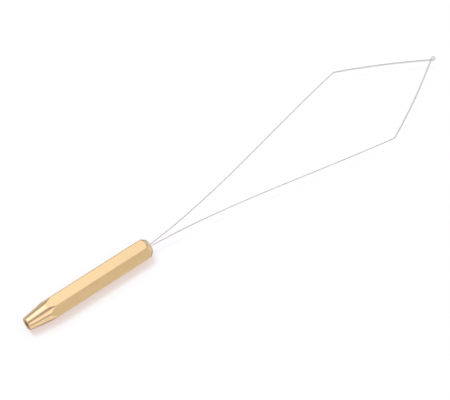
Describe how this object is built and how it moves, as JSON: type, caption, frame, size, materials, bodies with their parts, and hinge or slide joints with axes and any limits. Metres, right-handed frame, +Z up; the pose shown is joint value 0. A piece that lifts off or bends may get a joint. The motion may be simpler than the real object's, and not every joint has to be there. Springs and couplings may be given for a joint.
{
  "type": "bobbin threader",
  "caption": "Fly-tying bobbin threader: hexagonal brass handle with a bored, tapered half-hitch nose and a long kite-shaped loop of spring wire ending in a small eye.",
  "frame": {"origin": "middle of the flat that the handle rests on, half way along the handle", "axes": "+X along the handle from the nose to the wire loop, +Z up off the resting flat, +Y to the left"},
  "size_m": [0.1653, 0.033, 0.0063],
  "materials": {
    "brass": "satin drawn flats, polished turned nose",
    "solder": "dull grey solder",
    "spring_steel": "bright drawn spring wire"
  },
  "bodies": {
    "handle": {"handle": "brass", "solder_plug": "solder", "left_wire_tail": "spring_steel", "right_wire_tail": "spring_steel"},
    "left_root": {"left_wire_root": "spring_steel"},
    "left_leg": {"left_wire_leg": "spring_steel"},
    "left_front": {"left_wire_front": "spring_steel"},
    "eye": {"tip_eye": "spring_steel"},
    "right_root": {"right_wire_root": "spring_steel"},
    "right_leg": {"right_wire_leg": "spring_steel"},
    "right_front": {"right_wire_front": "spring_steel"}
  },
  "joints": [
    {"name": "loop_squeeze", "type": "hinge", "parent": "handle", "child": "left_root", "pos_m": [0.02375, 0.00035, 0.00317], "axis": [0, 0, -1], "range_deg": [0, 7.12], "stiffness_Nm_per_rad": 0.01},
    {"name": "left_leg_bend", "type": "hinge", "parent": "left_root", "child": "left_leg", "pos_m": [0.04465, 0.00316, 0.00317], "axis": [0, 0, -1], "range_deg": [0, 5.2]},
    {"name": "left_elbow", "type": "hinge", "parent": "left_leg", "child": "left_front", "pos_m": [0.11196, 0.01763, 0.00317], "axis": [0, 0, 1], "range_deg": [0, 40]},
    {"name": "eye_turn", "type": "hinge", "parent": "left_front", "child": "eye", "pos_m": [0.14119, 0.00185, 0.00317], "axis": [0, 0, -1], "range_deg": [0, 28.2]},
    {"name": "right_root_bend", "type": "hinge", "parent": "handle", "child": "right_root", "pos_m": [0.02375, -0.00035, 0.00317], "axis": [0, 0, 1], "range_deg": [0, 6]},
    {"name": "right_leg_bend", "type": "hinge", "parent": "right_root", "child": "right_leg", "pos_m": [0.04465, -0.00274, 0.00317], "axis": [0, 0, 1], "range_deg": [0, 4.9]},
    {"name": "right_elbow", "type": "hinge", "parent": "right_leg", "child": "right_front", "pos_m": [0.11037, -0.0152, 0.00317], "axis": [0, 0, -1], "range_deg": [0, 39.3]}
  ],
  "couplings": [
    {"joint": "left_leg_bend", "follows": "loop_squeeze", "ratio": 0.7173},
    {"joint": "left_elbow", "follows": "loop_squeeze", "ratio": 5.5964},
    {"joint": "eye_turn", "follows": "loop_squeeze", "ratio": 3.9423},
    {"joint": "right_root_bend", "follows": "loop_squeeze", "ratio": 0.8396},
    {"joint": "right_leg_bend", "follows": "loop_squeeze", "ratio": 0.68243},
    {"joint": "right_elbow", "follows": "loop_squeeze", "ratio": 5.4897}
  ]
}
